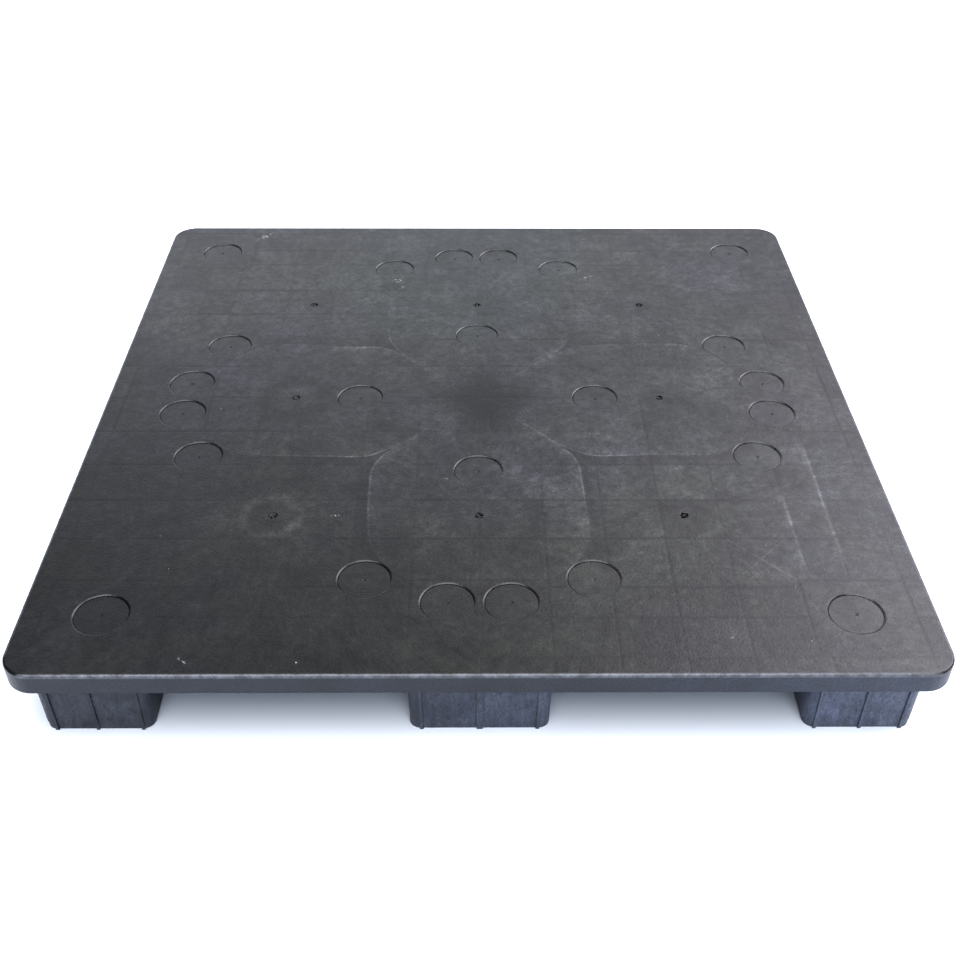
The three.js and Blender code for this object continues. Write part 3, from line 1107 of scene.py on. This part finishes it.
def gate_halos(graph, x, y, value, cloud):
    """Rings of blush round some gates, each as its own flow left it, and the gates' dark cores."""
    fray = graph.product(graph.less(cloud, 0.5), 0.03)
    for (column, row), radius, width, strength in GATE_RINGS:
        centre = (column * GATE_PITCH, row * GATE_PITCH)
        distance = graph.total(patch(graph, x, y, centre, (1.0, 1.0)), fray)
        ring = graph.line(graph.size(graph.less(distance, radius)), width)
        value = graph.product(value, graph.tint(ring, strength))
    beside_x = graph.least(graph.size(graph.less(graph.size(x), GATE_PITCH)), graph.size(x))
    beside_y = graph.least(graph.size(graph.less(graph.size(y), GATE_PITCH)), graph.size(y))
    from_gate = patch(graph, beside_x, beside_y, (0.0, 0.0), (1.0, 1.0))
    core = graph.ramp(from_gate, 0.005, 0.010, 1.0, 0.0)
    return graph.product(value, graph.tint(core, -0.85))


def edge_wear_and_highlight(graph, point, fold_x, fold_y, z):
    """Pale wear along the deck's rounded top edge, which also stands in as a painted highlight
    along it.
    """
    near_edge = graph.ramp(graph.most(fold_x, fold_y), HALF - 5 * MM, HALF - 1.5 * MM)
    upper = graph.ramp(z, TOP - 6 * MM, TOP - 3 * MM)
    rubbed = graph.ramp(graph.noise(point, 70.0, 4.0, 0.7), 0.30, 0.80, 0.15, 0.60)
    return graph.both(near_edge, upper, rubbed)


def scuffs(graph, point, x, y):
    """Pale dust specks, rubbed spots and a few short scratches."""
    specks = speckle(graph, point, 26.0, 0.035, 0.0010)
    fine = speckle(graph, graph.moved(point, 0.4, 0.7), 85.0, 0.03, 0.0006)
    marks = graph.product(graph.most(specks, fine), 0.45)
    breakup = graph.noise(point, 240.0, 3.0, 0.7)
    for centre, size, turn in RUBBED_SPOTS:
        near = graph.line(patch(graph, x, y, centre, size, turn), 1.0)
        spot = graph.ramp(graph.math("MULTIPLY_ADD", near, 0.14, breakup), 0.62, 0.74)
        marks = graph.most(marks, graph.product(spot, near, 0.4))
    across = graph.noise(graph.stretched(point, 18.0, 700.0, 1.0), 1.0, 1.0)
    along = graph.noise(graph.stretched(point, 620.0, 14.0, 1.0), 1.0, 1.0)
    where = graph.ramp(graph.noise(point, 9.0, 2.0), 0.58, 0.70)
    scratches = graph.both(graph.ramp(graph.most(across, along), 0.74, 0.80), where)
    return graph.most(marks, graph.product(scratches, 0.05))


def foot_material():
    material, graph, point, shader = plastic("foot_polyethylene")
    x, _, z = graph.split(point)
    cloud = graph.noise(point, 20.0, 4.0, 0.65)
    upright = graph.noise(graph.stretched(point, 120.0, 120.0, 14.0), 1.0, 4.0, 0.6)
    slanted = graph.noise(graph.stretched(point, 240.0, 240.0, 110.0), 1.0, 3.0, 0.6, 1.5)
    grain = graph.noise(point, 1100.0, 2.0, 0.6)
    # Painted light: the feet are made lighter towards the right.
    value = graph.product(
        graph.swing(cloud, 1.6), graph.swing(upright, 1.4), graph.swing(slanted, 2.4),
        graph.swing(grain, 0.7), graph.ramp(x, -0.45, 0.45, 0.65, 2.0),
    )
    colour = graph.mix_colour(graph.ramp(cloud, 0.3, 0.7), FOOT_BLUE, FOOT_LIGHT_BLUE)
    colour = graph.scale_colour(colour, value)
    low = graph.ramp(z, 0.001, 0.02, 1.0, 0.0)
    dust = graph.both(low, graph.ramp(graph.noise(point, 90.0, 4.0, 0.7), 0.45, 0.7))
    haze = graph.ramp(graph.noise(graph.moved(point, 5.0, 1.0), 14.0, 3.0, 0.6), 0.44, 0.66)
    rubbed = graph.both(haze, graph.ramp(graph.both(upright, slanted), 0.12, 0.42))
    specks = speckle(graph, point, 60.0, 0.03, 0.0012)
    colour = graph.mix_colour(graph.product(rubbed, 0.10), colour, HAZE_PALE)
    colour = graph.mix_colour(graph.product(dust, 0.16), colour, FLOOR_DUST)
    colour = graph.mix_colour(graph.product(specks, 0.4), colour, SPECK_PALE)
    roughness = graph.total(0.40, graph.product(cloud, 0.16), graph.product(rubbed, 0.1))
    wavy = graph.bump(graph.noise(point, 18.0, 2.0, 0.4), 0.6 * MM, 0.5)
    texture = graph.bump(graph.total(grain, slanted, upright), 0.08 * MM, 0.7, wavy)
    dress(graph, shader, colour, roughness, texture)
    return material


def disc_material():
    material, graph, point, shader = plastic("disc_polyethylene")
    x, y, _ = graph.split(point)
    value, cloud, weave, grain = moulded_tone(graph, point)
    colour = graph.scale_colour(charcoal(graph, point, x, y), value)
    specks = speckle(graph, point, 70.0, 0.03, 0.0010)
    colour = graph.mix_colour(graph.product(specks, 0.5), colour, SPECK_PALE)
    roughness = graph.total(0.30, graph.product(cloud, 0.16))
    wavy = graph.bump(graph.noise(point, 7.0, 2.0, 0.4), 1.0 * MM, 0.5)
    texture = graph.bump(graph.math("MULTIPLY_ADD", weave, 3.0, grain), 0.12 * MM, 0.8, wavy)
    dress(graph, shader, colour, roughness, texture)
    return material


# ---------------------------------------------------------------- stage, lights, camera


def make_floor():
    bpy.ops.mesh.primitive_plane_add(size=30)
    floor = bpy.context.object
    floor.name = "floor"
    material = bpy.data.materials.new("floor_paper")
    material.use_nodes = True
    shader = material.node_tree.nodes["Principled BSDF"]
    shader.inputs["Base Color"].default_value = PAPER
    shader.inputs["Roughness"].default_value = 0.9
    shader.inputs["Specular IOR Level"].default_value = 0.1
    floor.data.materials.append(material)


def direction(azimuth, elevation):
    """A unit vector: azimuth from +Y towards +X, and elevation, in degrees."""
    turn, rise = math.radians(azimuth), math.radians(elevation)
    return (math.sin(turn) * math.cos(rise), math.cos(turn) * math.cos(rise), math.sin(rise))


# Soft lights of the dome: azimuth, elevation, half angle, softness, strength and colour.
DOME_LIGHTS = [
    (180, 73, 27, 8, 8.0, (0.97, 0.99, 1.03)),
    (50, 44, 16, 14, 10.0, (1.0, 0.98, 1.09)),
    (-10, 20, 20, 16, 1.7, (0.93, 0.98, 1.07)),
    (172, 26, 24, 14, 2.2, (0.80, 0.92, 1.16)),
]
DOME_BASE = (0.17, 0.17, 0.17)


def make_lights():
    """A dome of soft light: bright overhead, a key at the back right and dim elsewhere."""
    world = bpy.data.worlds.new("studio")
    world.use_nodes = True
    graph = Graph(world.node_tree)
    ray = graph.node("ShaderNodeTexCoord").outputs["Generated"]
    light = DOME_BASE
    for azimuth, elevation, half_angle, softness, strength, colour in DOME_LIGHTS:
        facing = graph.vector("DOT_PRODUCT", ray, direction(azimuth, elevation))
        outer = math.cos(math.radians(half_angle + softness))
        inner = math.cos(math.radians(max(half_angle - softness, 0)))
        share = graph.ramp(facing, outer, inner, 0.0, strength)
        light = graph.vector("ADD", light, graph.scale_colour(colour, share))
    graph.put(graph.tree.nodes["Background"].inputs["Color"], light)
    bpy.context.scene.world = world


CAMERA_PLACE = (-0.0112, -1.6038, TOP + 1.1145)
CAMERA_PITCH, CAMERA_YAW, CAMERA_ROLL = 38.72, 0.555, 0.307  # degrees
SENSOR_WIDTH = 36
LENS = 44.94


def make_camera():
    """The viewpoint: in front of the deck and above it, looking down at its middle."""
    pitch, yaw, roll = (math.radians(turn) for turn in (CAMERA_PITCH, CAMERA_YAW, CAMERA_ROLL))
    data = bpy.data.cameras.new("camera")
    data.sensor_width = SENSOR_WIDTH
    data.lens = LENS
    camera = bpy.data.objects.new("camera", data)
    turn = Matrix.Rotation(-yaw, 4, "Z") @ Matrix.Rotation(math.pi / 2 - pitch, 4, "X")
    camera.matrix_world = (
        Matrix.Translation(CAMERA_PLACE) @ turn @ Matrix.Rotation(roll, 4, "Z")
    )
    bpy.context.scene.collection.objects.link(camera)
    bpy.context.scene.camera = camera


make_camera()
make_floor()
make_lights()
make_deck(deck_material())
make_feet(foot_material())
make_discs(disc_material())
bpy.context.scene.view_settings.view_transform = "Standard"
bpy.context.scene.view_settings.gamma = 0.88

bpy.context.view_layer.update()
